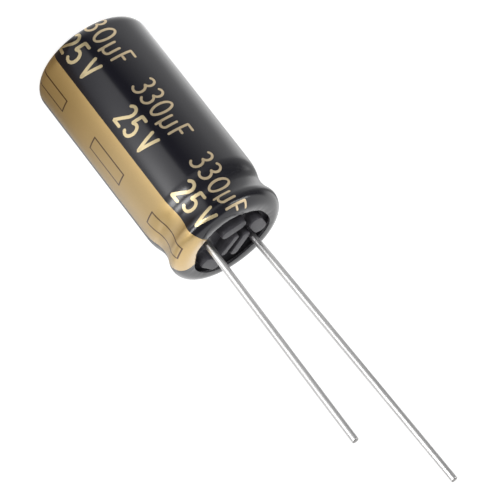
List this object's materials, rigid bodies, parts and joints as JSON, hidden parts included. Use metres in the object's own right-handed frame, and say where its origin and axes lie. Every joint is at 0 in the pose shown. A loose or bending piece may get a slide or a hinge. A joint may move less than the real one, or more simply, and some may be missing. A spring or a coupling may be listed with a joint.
{
  "type": "electrolytic capacitor",
  "caption": "Radial electrolytic capacitor: aluminium can in a black shrink sleeve, rubber end seal, long and short wires",
  "frame": {"origin": "centre of the sleeve's lower lip at the closed end, on the surface the part stands on", "axes": "+Z runs from the closed end to the wires; X runs along the line of the wires, the short wire on +X and the long wire on -X"},
  "size_m": [0.01, 0.01, 0.0456],
  "materials": {
    "sleeve_film": "glossy black shrink film with a gold printed stripe",
    "can_metal": "satin drawn",
    "seal_rubber": "dull moulded",
    "tinned_wire": "bright tin plating",
    "tab_metal": "pressed",
    "anode_etched": "matt etched and formed",
    "cathode_etched": "matt etched",
    "separator": "soaked paper",
    "tape_film": "clear yellowish film"
  },
  "bodies": {
    "root": {"sleeve": "sleeve_film", "can": "can_metal", "rubber_seal": "seal_rubber", "cathode_lead": "tinned_wire", "anode_lead": "tinned_wire", "cathode_tab": "tab_metal", "anode_tab": "tab_metal", "anode_foil": "anode_etched", "cathode_foil": "cathode_etched", "first_paper": "separator", "second_paper": "separator", "winding_tape": "tape_film"}
  },
  "joints": []
}
